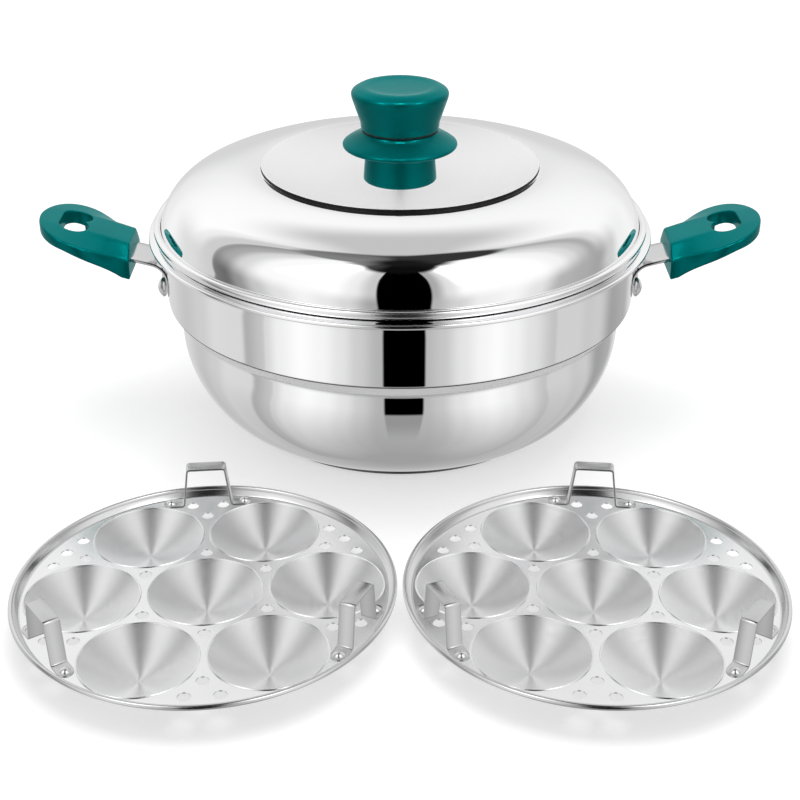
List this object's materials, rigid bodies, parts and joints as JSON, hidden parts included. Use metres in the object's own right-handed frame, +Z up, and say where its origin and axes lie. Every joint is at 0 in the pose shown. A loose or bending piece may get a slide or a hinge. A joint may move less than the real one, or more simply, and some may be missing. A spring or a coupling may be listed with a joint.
{
  "type": "idli steamer",
  "caption": "Stovetop idli steamer: stepped bowl pot with side grips, domed lid with a waisted knob, and two lift-out idli plates with strap brackets.",
  "frame": {"origin": "centre of the pot's base disc on the table, below the pot's axis", "axes": "+Z up along the pot's axis, +X towards the right grip, -Y towards the viewer and the two plates"},
  "size_m": [0.4038, 0.4468, 0.1906],
  "materials": {
    "polished_steel": "mirror polished, with satin cup plates and lid disc",
    "base_steel": "satin",
    "core_aluminium": "plain",
    "rivet_steel": "polished",
    "zinc_steel": "plated",
    "teal_bakelite": "moulded, gloss"
  },
  "bodies": {
    "pot": {"pot_body": "polished_steel", "base_core": "core_aluminium", "base_cap": "base_steel", "left_handle_bracket": "polished_steel", "right_handle_bracket": "polished_steel", "left_handle_rivets": "rivet_steel", "right_handle_rivets": "rivet_steel", "left_handle_grip": "teal_bakelite", "right_handle_grip": "teal_bakelite", "left_handle_screw": "zinc_steel", "right_handle_screw": "zinc_steel"},
    "lid": {"lid_dome": "polished_steel", "knob_collar": "teal_bakelite", "knob_head": "teal_bakelite", "knob_washer": "zinc_steel", "knob_screw": "zinc_steel"},
    "plate_left": {"left_idli_plate": "polished_steel", "left_plate_rear_bracket": "polished_steel", "left_plate_left_bracket": "polished_steel", "left_plate_right_bracket": "polished_steel", "left_plate_rivets": "rivet_steel"},
    "plate_right": {"right_idli_plate": "polished_steel", "right_plate_rear_bracket": "polished_steel", "right_plate_left_bracket": "polished_steel", "right_plate_right_bracket": "polished_steel", "right_plate_rivets": "rivet_steel"}
  },
  "joints": [
    {"name": "lid_lift", "type": "slide", "parent": "pot", "child": "lid", "axis": [0, 0, 1], "range_m": [0, 0.18]},
    {"name": "plate_left_lift", "type": "slide", "parent": "pot", "child": "plate_left", "axis": [0, 0, 1], "range_m": [0, 0.12]},
    {"name": "plate_right_lift", "type": "slide", "parent": "pot", "child": "plate_right", "axis": [0, 0, 1], "range_m": [0, 0.12]}
  ]
}
